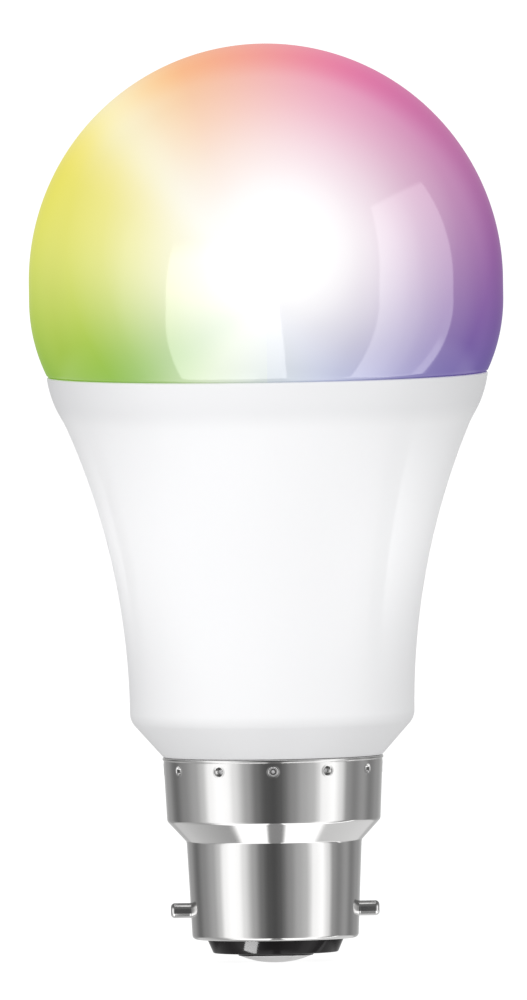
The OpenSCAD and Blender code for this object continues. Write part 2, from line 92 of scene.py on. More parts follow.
class Sheet:
    # a node tree, for a material, a light or the surroundings
    def __init__(self, tree):
        self.tree = tree
        tree.nodes.clear()

    def node(self, kind, settings=None, values=None, output=0):
        made = self.tree.nodes.new(kind)
        for key, value in (settings or {}).items():
            if key == "stops":
                self.setStops(made.color_ramp, value)
            elif key == "blend":
                made.color_ramp.interpolation = value
            else:
                setattr(made, key, value)
        for key, value in (values or {}).items():
            self.feed(made.inputs[key], value)
        return Wire(self, made.outputs[output]) if made.outputs else None

    def feed(self, socket, value):
        if isinstance(value, Wire):
            self.tree.links.new(value.socket, socket)
        else:
            socket.default_value = value

    def setStops(self, ramp, stops):
        while len(ramp.elements) < len(stops):
            ramp.elements.new(1.0)
        for element, (place, colour) in zip(ramp.elements, stops):
            element.position = place
            element.color = asColour(colour)

    def maths(self, operation, *terms):
        return self.node("ShaderNodeMath", {"operation": operation}, dict(enumerate(terms)))

    def vectors(self, operation, *terms):
        return self.node("ShaderNodeVectorMath", {"operation": operation}, dict(enumerate(terms)))

    def ramp(self, factor, stops, blend="LINEAR"):
        return self.node("ShaderNodeValToRGB", {"blend": blend, "stops": stops}, {0: factor})

    def mix(self, factor, first, second):
        values = {0: factor, 6: asColour(first), 7: asColour(second)}
        return self.node("ShaderNodeMix", {"data_type": "RGBA"}, values, 2)

    def step(self, value, low, high):
        # 0 below low and 1 above high, with a smooth rise between them
        values = {"Value": value, "From Min": low, "From Max": high}
        return self.node("ShaderNodeMapRange", {"interpolation_type": "SMOOTHSTEP"}, values)

    def parts(self, vector):
        first = self.node("ShaderNodeSeparateXYZ", {}, {0: vector})
        return [Wire(self, output) for output in first.socket.node.outputs]

    def place(self):
        return self.node("ShaderNodeTexCoord", {}, {}, "Object")

    def noise(self, vector, scale, detail=3.0, rough=0.5):
        values = {"Vector": vector, "Scale": scale, "Detail": detail, "Roughness": rough}
        return self.node("ShaderNodeTexNoise", {}, values)

    def bump(self, height, strength, distance):
        values = {"Strength": strength, "Distance": distance, "Height": height}
        return self.node("ShaderNodeBump", {}, values)


class Finish(Sheet):
    # a material with one Principled shader
    def __init__(self, name):
        self.material = bpy.data.materials.new(name)
        self.material.use_nodes = True
        super().__init__(self.material.node_tree)
        surface = self.node("ShaderNodeBsdfPrincipled")
        self.node("ShaderNodeOutputMaterial", {}, {"Surface": surface})
        self.shader = surface.socket.node

    def set(self, values):
        for key, value in values.items():
            self.feed(self.shader.inputs[key], value)
        return self.material


def arcPoints(centre, radius, first, last, steps):
    # points on an arc, from one angle to another, in degrees
    points = []
    for i in range(steps + 1):
        angle = math.radians(first + (last - first) * i / steps)
        points.append((centre[0] + radius * math.cos(angle), centre[1] + radius * math.sin(angle)))
    return points


def roundedLine(corners, steps=6):
    # a line through corners (r, z, rounding); a rounded corner becomes a short arc
    line = []
    for i, (r, z, rounding) in enumerate(corners):
        here = Vector((r, z))
        if rounding == 0:
            line.append(tuple(here))
            continue
        before = (Vector(corners[i - 1][:2]) - here).normalized()
        after = (Vector(corners[(i + 1) % len(corners)][:2]) - here).normalized()
        half = before.angle(after) / 2
        reach = rounding / math.tan(half)
        middle = here + (before + after).normalized() * (rounding / math.sin(half))
        start = here + before * reach - middle
        end = here + after * reach - middle
        for k in range(steps + 1):
            spoke = start.lerp(end, k / steps).normalized() * rounding
            line.append(tuple(middle + spoke))
    return line


def sameSpot(a, b):
    return abs(a[0] - b[0]) + abs(a[1] - b[1]) < 1e-5


def evenTurns(count):
    return [2 * math.pi * i / count for i in range(count)]


def plainSpin(r, z, angle):
    return (r * math.sin(angle), -r * math.cos(angle), z)


def turned(outline, turns, shape=plainSpin, closed=True):
    # spins an outline of (r, z) about Z and gives points and faces; shape places each point
    line = [p for i, p in enumerate(outline) if i == 0 or not sameSpot(p, outline[i - 1])]
    points = []
    rings = []
    for r, z in line:
        if r < 1e-6:
            rings.append([len(points)] * len(turns))
            points.append(shape(0, z, 0))
            continue
        rings.append(list(range(len(points), len(points) + len(turns))))
        points += [shape(r, z, angle) for angle in turns]
    faces = []
    pairs = list(zip(rings, rings[1:]))
    if closed:
        pairs.append((rings[-1], rings[0]))
    for lower, upper in pairs:
        for i in range(len(turns)):
            j = (i + 1) % len(turns)
            corners = [lower[i], lower[j], upper[j], upper[i]]
            face = [c for k, c in enumerate(corners) if c != corners[k - 1]]
            if len(face) > 2:
                faces.append(face)
    return points, faces


def meshPiece(name, points, faces, material, replaced):
    mesh = bpy.data.meshes.new(name)
    mesh.from_pydata([tuple(c * mm for c in p) for p in points], [], faces)
    mesh.validate()
    mesh.polygons.foreach_set("use_smooth", [True] * len(mesh.polygons))
    mesh.materials.append(material)
    piece = bpy.data.objects.new(name, mesh)
    scene.collection.objects.link(piece)
    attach(piece, "root")
    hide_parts(replaced)
    return piece


def nodeBox(node):
    # a node's box in millimetres
    low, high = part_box(node)
    return low / mm, high / mm


domeLow, domeHigh = nodeBox("diffuser_dome")
housingLow, housingHigh = nodeBox("housing")
capLow, capHigh = nodeBox("cap_shell")
insulatorHigh = nodeBox("cap_insulator")[1]
pinLow, pinHigh = nodeBox("bayonet_pin_right")
contactLow, contactHigh = nodeBox("contact_front")
seamZ = housingHigh.z + 0.15         # the dome's edge stands just above the housing's rim


cameraPlan = {
    "rise": 2.2,             # degrees above level
    "roll": 0.85,            # degrees that the lamp leans to the left
    "span": 0.129,           # height of the view
    "aim": (-0.00073, 0.0, 0.05954),
    "distance": 0.7,
}


def makeCamera(plan):
    data = bpy.data.cameras.new("camera")
    data.type = "ORTHO"
    data.ortho_scale = plan["span"]
    camera = bpy.data.objects.new("camera", data)
    scene.collection.objects.link(camera)
    rise = math.radians(plan["rise"])
    away = Vector((0, -math.cos(rise), math.sin(rise)))
    camera.location = Vector(plan["aim"]) + away * plan["distance"]
    look = away.to_track_quat("Z", "Y").to_matrix().to_4x4()
    turn = look @ Matrix.Rotation(math.radians(-plan["roll"]), 4, "Z")
    camera.rotation_euler = turn.to_euler()
    scene.camera = camera


makeCamera(cameraPlan)
print("camera placed")


domePlan = {
    "wall": 1.2,
    "band": 2.45,            # straight band at the widest point
    "footCurve": 22.0,       # draws the dome in towards the seam
    "footRise": 9.5,         # from the seam up to the band
    "skirtOut": 27.0,        # the skirt goes down inside the housing
    "skirtIn": 25.8,
    "skirtRound": 0.2,
    "ledge": 1.0,            # the thin wall starts this far above the seam
    "turns": 256,
    "glow": (0.06, 0.205),   # middle of the white glow, in shares of the radius
    "fade": [(0.0, 0.0), (0.19, 0.01), (0.3, 0.13), (0.45, 0.37), (0.6, 0.65), (0.75, 0.88), (0.9, 1.0)],
    # colours of the glow round the edge, from straight down, anticlockwise as seen from the front
    "hues": [
        (0.0, (0.42, 0.53, 0.58)),
        (0.06, (0.37, 0.46, 0.65)),
        (0.11, (0.31, 0.37, 0.70)),
        (0.165, (0.145, 0.115, 0.42)),
        (0.215, (0.19, 0.11, 0.39)),
        (0.275, (0.34, 0.13, 0.40)),
        (0.335, (0.53, 0.20, 0.44)),
        (0.39, (0.65, 0.17, 0.42)),
        (0.445, (0.83, 0.21, 0.43)),
        (0.50, (0.91, 0.39, 0.37)),
        (0.555, (0.96, 0.54, 0.26)),
        (0.585, (0.99, 0.77, 0.47)),
        (0.61, (1.0, 0.95, 0.66)),
        (0.635, (0.96, 0.86, 0.31)),
        (0.665, (0.87, 0.81, 0.14)),
        (0.72, (0.83, 0.85, 0.22)),
        (0.78, (0.45, 0.64, 0.075)),
        (0.84, (0.23, 0.53, 0.05)),
        (0.90, (0.68, 0.82, 0.45)),
        (1.0, (0.42, 0.53, 0.58)),
    ],
    "deepen": 1.5,           # gamma of the deeper colours painted round the rim
    "shine": 0.73,           # strength of the glow
    "body": 0.45,            # how much of the glow's colour is painted into the plastic's own colour
    "gloss": 0.055,          # roughness of the clear surface
}


def domeFinish(plan, radius):
    finish = Finish("milkyDomeLit")
    x, _, z = finish.parts(finish.place())
    middle = (seamZ + plan["footRise"] + plan["band"] / 2) * mm
    across = x / (radius * mm)
    up = (z - middle) / (radius * mm)
    turn = finish.maths("FRACT", finish.maths("ARCTAN2", up, across) / (2 * math.pi) + 0.25)
    hues = finish.ramp(turn, plan["hues"], "B_SPLINE")
    glowX = across - plan["glow"][0]
    glowZ = up - plan["glow"][1]
    depth = finish.ramp((glowX * glowX + glowZ * glowZ) ** 0.5, plan["fade"])
    tinted = finish.mix(depth, 1.0, hues)
    # painted rim shade: the colour is made fuller round the edge as seen from the front, where the wall is
    # seen edge on, most of all low down
    paintedRimHues = finish.node("ShaderNodeGamma", {}, {"Color": hues, "Gamma": plan["deepen"]})
    radial = (across * across + up * up) ** 0.5
    rim = finish.step(radial, 0.91, 1.01)
    foot = finish.step(-0.2 - up, 0.0, 0.3)
    colour = finish.mix(rim * (0.5 + 0.3 * foot), tinted, paintedRimHues)
    # the white middle is the brightest
    lit = 0.85 + 0.15 * (1 - depth) ** 4
    return finish.set({
        # painted glow: the plastic's own colour is the glow's colours, darkened
        "Base Color": finish.mix(1 - plan["body"], colour, 0.0),
        "Emission Color": finish.vectors("MULTIPLY", colour, lit),
        "Emission Strength": plan["shine"],
        "Roughness": 0.5,
        "Specular IOR Level": 0.0,
        "Coat Weight": 1 - finish.step(radial, 0.86, 1.0) * 0.7,
        "Coat Roughness": plan["gloss"],
        "Coat IOR": 1.52,
    })


def makeDome(plan):
    radius = domeHigh.x
    foot = plan["footCurve"]
    wall = plan["wall"]
    skirtRound = plan["skirtRound"]
    lowMiddle = seamZ + plan["footRise"]
    highMiddle = lowMiddle + plan["band"]
    footAngle = -math.degrees(math.asin(plan["footRise"] / foot))
    innerAngle = -math.degrees(math.asin((plan["footRise"] - plan["ledge"]) / (foot - wall)))
    edgeR = radius - foot + foot * math.cos(math.radians(footAngle))
    # the skirt, then the outside up to the top
    outline = roundedLine([
        (plan["skirtIn"], domeLow.z, skirtRound), (plan["skirtOut"], domeLow.z, skirtRound),
        (plan["skirtOut"], seamZ, 0), (edgeR - 0.1, seamZ, 0),
    ])
    outline += arcPoints((radius - foot, lowMiddle), foot, footAngle + 0.25, 0, 24)
    outline += arcPoints((0, highMiddle), radius, 0, 90, 90)[:-1]
    outline += [(0, highMiddle + radius), (0, highMiddle + radius - wall)]
    # the inside back down to the ledge
    outline += arcPoints((0, highMiddle), radius - wall, 90, 0, 60)[1:]
    outline += arcPoints((radius - foot, lowMiddle), foot - wall, 0, innerAngle, 16)
    outline += [(plan["skirtIn"], seamZ + plan["ledge"])]
    points, faces = turned(outline, evenTurns(plan["turns"]))
    return meshPiece("milkyDome", points, faces, domeFinish(plan, radius), "diffuser_dome")


dome = makeDome(domePlan)
print("dome made")


housingPlan = {
    "rim": 28.5,             # collar radius at the seam
    "collarCurve": 13.6,
    "collarRise": 1.5,       # height of that curve's centre above the seam
    "crease": 5.9,           # how far the collar comes down
    "blend": 2.5,            # the crease is eased up to this far above it
    "softness": 0.05,        # how much it is eased
    "waist": 18.35,
    "waistZ": 32.0,
    "flankCurve": 94.0,
    "cornerCurve": 2.5,      # rounding between the flank and the chamfer
    "slope": 0.888,          # of the chamfer
    "foot": 14.15,           # where it stands on the cap
    "wall": 1.6,
    "mouth": 27.1,           # inner radius at the rim
    "rimRound": 0.22,
    "spigotOut": 13.3,
    "spigotIn": 12.0,
    "turns": 256,
    "steps": 110,            # rings down the outside
}


def housingFinish(plan):
    finish = Finish("satinWhiteHousing")
    place = finish.place()
    cloud = finish.noise(place, 60.0)
    grain = finish.noise(place, 5200.0, 2.0, 0.6)
    tone = finish.mix(cloud, (0.91, 0.912, 0.925), (0.93, 0.931, 0.94))
    # painted shade: the collar is painted a shade greyer than the flank, standing in for the shade that
    # falls on it above the crease
    crease = seamZ - plan["crease"]
    collar = finish.step(finish.parts(place)[2], (crease - 0.6) * mm, (crease + 2.2) * mm)
    return finish.set({
        "Base Color": finish.mix(collar, tone, (0.848, 0.85, 0.863)),
        "Roughness": 0.36 + 0.08 * cloud,
        "IOR": 1.5,
        "Normal": finish.bump(grain, 0.12, 0.00003),
    })


def flankRadius(plan, z):
    # outside radius at a height: the collar's curve above the crease, the hollow flank below it
    centre = plan["rim"] - math.sqrt(plan["collarCurve"] ** 2 - plan["collarRise"] ** 2)
    drop = seamZ + plan["collarRise"] - z
    collar = centre + math.sqrt(max(plan["collarCurve"] ** 2 - drop ** 2, 0))
    if z > seamZ - plan["crease"] + plan["blend"]:
        return collar
    bow = plan["flankCurve"]
    flank = plan["waist"] + bow - math.sqrt(bow ** 2 - (z - plan["waistZ"]) ** 2)
    half = (collar - flank) / 2
    return (collar + flank) / 2 + math.sqrt(half ** 2 + plan["softness"] ** 2)


def makeHousing(plan):
    top = housingHigh.z
    waist = plan["waist"]
    waistZ = plan["waistZ"]
    footZ = capHigh.z + 0.05
    cornerZ = footZ + (waist - plan["foot"]) / plan["slope"]
    lean = math.degrees(math.atan(plan["slope"]))
    curve = plan["cornerCurve"]
    cornerTop = cornerZ + curve * math.tan(math.radians(lean / 2))
    mouthEdge = plan["mouth"] + 0.1
    outline = [(plan["mouth"], top), (mouthEdge, top)]
    outline += roundedLine([
        (mouthEdge, top, 0), (flankRadius(plan, top), top, plan["rimRound"]),
        (flankRadius(plan, top - 1), top - 1, 0),
    ])[1:-1]
    start = top - 0.4
    for i in range(plan["steps"] + 1):
        z = start + (cornerTop - start) * i / plan["steps"]
        outline.append((flankRadius(plan, z), z))
    outline += arcPoints((waist - curve, cornerTop), curve, 0, -lean, 14)[1:]
    outline += roundedLine([
        (waist, cornerZ, 0), (plan["foot"], footZ, 0.18), (plan["spigotOut"] + 0.3, footZ, 0),
    ])[1:]
    outline += [
        (plan["spigotOut"], housingLow.z), (plan["spigotIn"], housingLow.z), (plan["spigotIn"], footZ),
        (waist - plan["wall"], waistZ),
    ]
    # the inside, one wall away from the flank, up to a step under the dome's skirt
    stepZ = seamZ - 3
    bow = plan["flankCurve"] + plan["wall"]
    for i in range(1, 31):
        z = waistZ + (stepZ - waistZ) * i / 30
        outline.append((waist + plan["flankCurve"] - math.sqrt(bow ** 2 - (z - waistZ) ** 2), z))
    outline.append((plan["mouth"], stepZ))
    points, faces = turned(outline, evenTurns(plan["turns"]))
    return meshPiece("whiteHousing", points, faces, housingFinish(plan), "housing")


housing = makeHousing(housingPlan)
print("housing made")


capPlan = {
    "upper": 14.15,          # upper barrel
    "flare": 0.38,           # how much it widens from the shoulder to the bead
    "lower": 10.88,          # lower barrel, at the pins
    "lip": 8.85,             # hole in the lower end
    "sheet": 0.35,
    "taper": 0.17,           # how much narrower the lower barrel's end is
    "edge": 0.6,             # rounding of that end
    "shoulderHigh": 18.25,
    "shoulderLow": 15.65,
    "shoulderRound": 0.75,
    "crimps": 12,
    "crimpZ": 24.95,
    "crimpR": 0.6,
    "crimpDepth": 0.6,
    "crimpRim": 0.035,       # height of the faint rim raised round each crimp
    "rimPlace": 1.12,        # where it is, in shares of the crimp's radius
    "rimWidth": 0.16,
    "crimpRows": 30,         # rings that the crimps are punched in
    "crimpReach": 1.15,      # half the width of the close turns at each crimp
    "closeTurns": 26,
    "wideTurns": 11,
}


def nickelFinish():
    finish = Finish("brightNickel")
    place = finish.place()
    latheLines = finish.noise(finish.vectors("MULTIPLY", place, (60.0, 60.0, 9000.0)), 1.0, 2.0)
    cloud = finish.noise(place, 180.0)
    return finish.set({
        "Base Color": finish.mix(cloud, (0.80, 0.795, 0.79), (0.84, 0.835, 0.83)),
        "Metallic": 1.0,
        "Roughness": 0.07 + 0.05 * latheLines,
        "Normal": finish.bump(latheLines, 0.05, 0.00001),
    })


def upperRadius(plan, z):
    # the upper barrel's radius at a height
    share = (z - plan["shoulderHigh"]) / (capHigh.z - plan["shoulderHigh"])
    return plan["upper"] - plan["flare"] * (1 - share)


def capOutline(plan):
    # the outside from the lower lip up to the bead, then the inside
    top = capHigh.z
    bead = capHigh.x
    upper = plan["upper"]
    lower = plan["lower"]
    lip = plan["lip"]
    sheet = plan["sheet"]
    low = plan["shoulderLow"]
    high = plan["shoulderHigh"]
    neck = lower + 0.1                   # the lower barrel just above the pins
    neckZ = pinHigh.z + 1.0
    waist = lower + 0.48                 # where the lower barrel meets the shoulder
    foot = upperRadius(plan, high) - 0.02
    steps = plan["crimpRows"]
    rows = [plan["crimpZ"] - 1.2 + 2.2 * i / steps for i in range(steps + 1)]
    line = roundedLine([
        (lip, capLow.z, 0.12),
        (lower - plan["taper"], capLow.z, plan["edge"]),
        (neck, neckZ, 0),
        (waist - 0.08, low - 0.3, 0),
        (waist, low, 0.3),
        (foot, high, plan["shoulderRound"]),
        (upper - 0.05, rows[0] - 0.1, 0),
    ], 8)[:-1]
    line += [(upperRadius(plan, z), z) for z in rows]
    # the bead
    line += roundedLine([
        (upper - 0.03, top - 0.5, 0.1), (upper - 0.05, top - 0.42, 0.05), (bead, top - 0.34, 0.12),
        (bead, top, 0.15), (upper - sheet, top, 0.1),
    ], 5)
    # one sheet further in, back down to the lip
    line += [(upperRadius(plan, z) - sheet, z) for z in reversed(rows)]
    line += roundedLine([
        (*line[-1], 0),
        (foot - sheet, high + 0.2, 0.4),
        (waist - sheet, low + 0.15, 0.3),
        (neck - sheet, neckZ, 0),
        (lower - plan["taper"] - sheet, capLow.z + sheet, 0.25),
        (lip, capLow.z + sheet, 0.1),
        (lip, capLow.z, 0),
    ], 5)[1:-1]
    return line


def crimpTurns(plan):
    # close turns across each crimp, wide ones between
    turns = []
    pitch = 2 * math.pi / plan["crimps"]
    reach = plan["crimpReach"] / plan["upper"]
    gap = pitch - 2 * reach
    close = plan["closeTurns"]
    wide = plan["wideTurns"]
    for n in range(plan["crimps"]):
        middle = n * pitch
        turns += [middle - reach + 2 * reach * i / close for i in range(close + 1)]
        turns += [middle + reach + gap * i / wide for i in range(1, wide)]
    return turns


def makeCap(plan, material):
    pitch = 2 * math.pi / plan["crimps"]

    def punch(r, z, angle):
        # a crimp: a small bowl with a faint raised rim, pushed into the upper barrel
        near = (angle + pitch / 2) % pitch - pitch / 2
        away = math.hypot(near * r, z - plan["crimpZ"]) / plan["crimpR"]
        push = 0
        if r > plan["upper"] - 1.5 and away < 2:
            bowl = max(0, 1 - away ** 2.4) ** 0.9
            rim = math.exp(-((away - plan["rimPlace"]) / plan["rimWidth"]) ** 2)
            push = plan["crimpDepth"] * bowl - plan["crimpRim"] * rim
        return plainSpin(r - push, z, angle)

    points, faces = turned(capOutline(plan), crimpTurns(plan), punch)
    meshPiece("capShell", points, faces, material, "cap_shell")


pinPlan = {
    "root": 9.6,             # the flange inside the barrel starts here
    "flange": 0.55,          # its thickness
    "sides": 64,
    "shank": 0.975,
    "swell": 0.985,          # small upset where the pin leaves the barrel
    "soft": 0.05,            # rounding of that upset
    "tipRound": 0.5,
}


def makePin(name, side, plan, material, node):
    flangeR = (pinHigh.z - pinLow.z) / 2
    middle = (pinHigh.z + pinLow.z) / 2
    tip = pinHigh.x
    root = plan["root"]
    shank = plan["shank"]
    swell = plan["swell"]
    soft = plan["soft"]
    barrel = capPlan["lower"]
    outline = roundedLine([
        (0, root, 0), (flangeR, root, 0.1), (flangeR, root + plan["flange"], 0.1),
        (shank, root + plan["flange"] + soft, 0), (shank, barrel - 0.25, 0), (swell, barrel - 0.12, soft),
        (swell, barrel + 0.02, soft), (shank, barrel + 0.14, soft),
        (shank, tip, plan["tipRound"]), (0, tip, 0),
    ], 7)
    spun, faces = turned(outline, evenTurns(plan["sides"]), closed=False)
    points = [(side * z, side * x, middle + y) for x, y, z in spun]
    meshPiece(name, points, faces, material, node)


nickel = nickelFinish()
makeCap(capPlan, nickel)
makePin("pinRight", 1, pinPlan, nickel, "bayonet_pin_right")
makePin("pinLeft", -1, pinPlan, nickel, "bayonet_pin_left")
print("cap and pins made")


contactPlan = {
    "long": 9.2,
    "wide": 4.8,
    "crown": 0.9,            # height of the crown
    "flat": 2.2,             # how flat the crown's middle is
    "side": 1.2,             # where the contact goes into the insulator
    "rings": 22,
    "sides": 96,
}

insulatorPlan = {
    "face": 1.15,            # height of the lower face
    "faceR": 8.05,
    "neckR": 8.82,           # at the cap's lip
    "flangeR": 10.0,         # inside the cap
    "bossGrow": 0.25,        # how far the boss stands out round each contact
    "bossDrop": 0.25,
    "bossEase": 0.24,        # width of its eased side
    "seatRise": 0.35,        # hollow that each contact sits in
    "seatInset": 0.15,
    "rings": 84,
    "turns": 240,
}


def blackFinish():
    finish = Finish("blackInsulator")
    cloud = finish.noise(finish.place(), 400.0)
    return finish.set({
        "Base Color": finish.mix(cloud, (0.014, 0.013, 0.014), (0.020, 0.018, 0.019)),
        "Roughness": 0.07 + 0.05 * cloud,
        "Specular IOR Level": 0.22,
    })


def tinFinish():
    finish = Finish("tinnedContact")
    cloud = finish.noise(finish.place(), 700.0, 4.0)
    return finish.set({
        "Base Color": finish.mix(cloud, (0.74, 0.735, 0.735), (0.82, 0.81, 0.81)),
        "Metallic": 1.0,
        "Roughness": 0.34 + 0.12 * cloud,
        "Normal": finish.bump(cloud, 0.25, 0.00008),
    })


def ovalReach(plan, x, y):
    # distance outside the contact's oval outline, less than 0 inside it
    straight = (plan["long"] - plan["wide"]) / 2
    return math.hypot(max(abs(x) - straight, 0), y) - plan["wide"] / 2


def easeStep(value):
    value = min(max(value, 0), 1)
    return value * value * (3 - 2 * value)


def makeInsulator(plan):
    contactY = (contactHigh.y + contactLow.y) / 2
    face = plan["face"]
    flatR = plan["faceR"] - 0.5
    seat = capLow.z + 0.45

    def boss(r, z, angle):
        # a low boss with eased sides, and the contact's seat sunk into it
        x, y, z = plainSpin(r, z, angle)
        if z < face + 0.01 and r < plan["faceR"] - 0.15:
            away = min(ovalReach(contactPlan, x, y - contactY), ovalReach(contactPlan, x, y + contactY))
            z = z - plan["bossDrop"] * easeStep((plan["bossGrow"] - away) / plan["bossEase"] + 0.5)
            z = z + plan["seatRise"] * easeStep(-away / plan["seatInset"] - 1)
        return (x, y, z)

    outline = [(flatR * i / plan["rings"], face) for i in range(plan["rings"] + 1)]
    outline += roundedLine([
        (flatR, face, 0), (plan["faceR"], face, 0.25),
        (plan["neckR"], capLow.z, 0), (plan["neckR"], seat, 0),
        (plan["flangeR"], seat, 0), (plan["flangeR"], insulatorHigh.z, 0.1), (0, insulatorHigh.z, 0),
    ])[1:]
    points, faces = turned(outline, evenTurns(plan["turns"]), boss, closed=False)
    return meshPiece("capInsulator", points, faces, blackFinish(), "cap_insulator")


def makeContact(name, node, material, plan):
    # a crowned oval button, built in rings from the middle of its crown
    low, high = nodeBox(node)
    middle = (low.y + high.y) / 2
    sides = plan["sides"]
    straight = (plan["long"] - plan["wide"]) / 2
    endR = plan["wide"] / 2
    outline = []
    for i in range(sides):
        angle = 2 * math.pi * (i + 0.5) / sides
        lean = math.copysign(straight, math.cos(angle))
        outline.append((lean + endR * math.cos(angle), endR * math.sin(angle)))
    crown = plan["crown"]
    side = plan["side"]
    shares = [k / plan["rings"] for k in range(1, plan["rings"])]
    levels = [(share, crown * share ** plan["flat"]) for share in shares]
    # the eased edge, the side and the flat at the back
    levels += [(0.985, crown * 0.97), (1.0, crown + 0.06), (1.0, side - 0.05), (0.98, side), (0.5, side)]
    points = [(0, middle, 0)]
    faces = []
    for size, z in levels:
        points += [(x * size, middle + y * size, z) for x, y in outline]
    points.append((0, middle, side))
    last = 1 + (len(levels) - 1) * sides
    for i in range(sides):
        j = (i + 1) % sides
        faces.append([0, 1 + j, 1 + i])
        for k in range(len(levels) - 1):
            a = 1 + k * sides
            b = a + sides
            faces.append([a + i, a + j, b + j, b + i])
        faces.append([last + i, last + j, len(points) - 1])
    meshPiece(name, points, faces, material, node)


tin = tinFinish()
insulator = makeInsulator(insulatorPlan)
makeContact("contactFront", "contact_front", tin, contactPlan)
makeContact("contactRear", "contact_rear", tin, contactPlan)
print("insulator and contacts made")


def mouldedFinish(name, light, dark, roughness, grain=900.0):
    finish = Finish(name)
    cloud = finish.noise(finish.place(), grain)
    return finish.set({
        "Base Color": finish.mix(cloud, dark, light),
        "Roughness": roughness + 0.1 * cloud,
        "Normal": finish.bump(cloud, 0.15, 0.00005),
    })


def metalFinish(name, light, dark, roughness):
    # fine lines along the sheet, as rolled
    finish = Finish(name)
    lines = finish.noise(finish.vectors("MULTIPLY", finish.place(), (40.0, 40.0, 4000.0)), 1.0)
    return finish.set({
        "Base Color": finish.mix(lines, dark, light),
        "Metallic": 1.0,
        "Roughness": roughness + 0.15 * lines,
        "Normal": finish.bump(lines, 0.1, 0.00002),
    })


def boardFinish(name, mask, track, pitch):
    # solder mask with copper tracks under it, and laminate weave
    finish = Finish(name)
    place = finish.place()
    x, _, z = finish.parts(place)
    drift = finish.noise(place, 260.0, 1.0)
    tracks = finish.step(finish.maths("SINE", (x + z * 0.5 + drift * 0.002) * pitch), 0.35, 0.5)
    weave = finish.noise(place, 3000.0, 2.0)
    return finish.set({
        "Base Color": finish.mix(tracks, mask, track),
        "Roughness": 0.3 + 0.15 * weave,
        "Normal": finish.bump(tracks + weave * 0.3, 0.3, 0.00004),
    })


def windingFinish(name, light, dark, pitch, metallic):
    # close turns of wire or tape round the piece
    finish = Finish(name)
    _, y, z = finish.parts(finish.place())
    shade = finish.maths("SINE", (y + z) * pitch) * 0.5 + 0.5
    return finish.set({
        "Base Color": finish.mix(shade, dark, light),
        "Metallic": metallic,
        "Roughness": 0.3 + 0.1 * shade,
        "Normal": finish.bump(shade, 0.5, 0.00008),
    })


# each slot's finish: how it is made, its name, its colours and its other values
insidePlan = {
    "sealant": (mouldedFinish, "whiteSealant", (0.86, 0.86, 0.84), (0.80, 0.80, 0.78), 0.5),
    "heat_sink_metal": (metalFinish, "pressedAluminium", (0.80, 0.81, 0.82), (0.68, 0.69, 0.71), 0.3),
    "pad": (mouldedFinish, "greyPad", (0.36, 0.40, 0.46), (0.30, 0.34, 0.40), 0.7),
    "white_board": (boardFinish, "whiteLedBoard", (0.86, 0.87, 0.86), (0.78, 0.80, 0.78), 1500.0),
    "screw_steel": (metalFinish, "zincScrew", (0.72, 0.72, 0.74), (0.6, 0.6, 0.63), 0.25),
    "led_body": (mouldedFinish, "ledPackage", (0.9, 0.9, 0.88), (0.84, 0.84, 0.82), 0.4),
    "phosphor": (mouldedFinish, "phosphorFill", (0.92, 0.68, 0.07), (0.85, 0.58, 0.04), 0.35, 3000.0),
    "clear_resin": (mouldedFinish, "clearResin", (0.66, 0.72, 0.66), (0.6, 0.66, 0.62), 0.12),
    "sleeve_plastic": (mouldedFinish, "naturalSleeve", (0.80, 0.79, 0.72), (0.74, 0.73, 0.66), 0.45),
    "green_board": (boardFinish, "driverBoardMask", (0.012, 0.10, 0.035), (0.03, 0.20, 0.07), 1900.0),
    "capacitor_sleeve": (mouldedFinish, "capacitorSleeve", (0.02, 0.028, 0.05), (0.012, 0.018, 0.035), 0.25),
    "film_red": (mouldedFinish, "redDip", (0.52, 0.03, 0.012), (0.42, 0.02, 0.01), 0.22),
    "ferrite": (mouldedFinish, "ferrite", (0.045, 0.045, 0.05), (0.02, 0.02, 0.022), 0.6, 4000.0),
    "black_plastic": (mouldedFinish, "blackMoulding", (0.014, 0.014, 0.015), (0.008, 0.008, 0.009), 0.45),
    "tape": (windingFinish, "yellowTape", (0.85, 0.57, 0.04), (0.66, 0.42, 0.03), 2600.0, 0.0),
    "copper": (windingFinish, "enamelledCopper", (0.55, 0.22, 0.08), (0.28, 0.09, 0.03), 16000.0, 1.0),
    "blue_disc": (mouldedFinish, "blueEpoxy", (0.02, 0.09, 0.35), (0.012, 0.06, 0.26), 0.25),
    "resistor_coat": (mouldedFinish, "resistorCoat", (0.12, 0.24, 0.15), (0.09, 0.18, 0.11), 0.5),
    "chip_ceramic": (mouldedFinish, "chipCeramic", (0.07, 0.055, 0.045), (0.04, 0.03, 0.025), 0.4, 2500.0),
    "gold_plate": (metalFinish, "goldFlash", (0.83, 0.62, 0.24), (0.72, 0.5, 0.17), 0.2),
    "dark_board": (boardFinish, "wirelessBoardMask", (0.006, 0.018, 0.05), (0.012, 0.04, 0.09), 2600.0),
    "shield_tin": (metalFinish, "tinnedShield", (0.74, 0.75, 0.76), (0.64, 0.65, 0.67), 0.28),
    "brown_wire": (mouldedFinish, "brownInsulation", (0.17, 0.05, 0.015), (0.13, 0.035, 0.01), 0.35),
    "blue_wire": (mouldedFinish, "blueInsulation", (0.012, 0.05, 0.3), (0.01, 0.035, 0.22), 0.35),
}


def finishInside(plan):
    finishes = {slot: make(*values) for slot, (make, *values) in plan.items()}
    slots = {part["node"]: part["material_slot"] for part in frame["record"]["subparts"]}
    for name, node in frame["nodes"].items():
        if slots[name] in finishes:
            for holder in node.material_slots:
                holder.material = finishes[slots[name]]


finishInside(insidePlan)
print("inside finished")


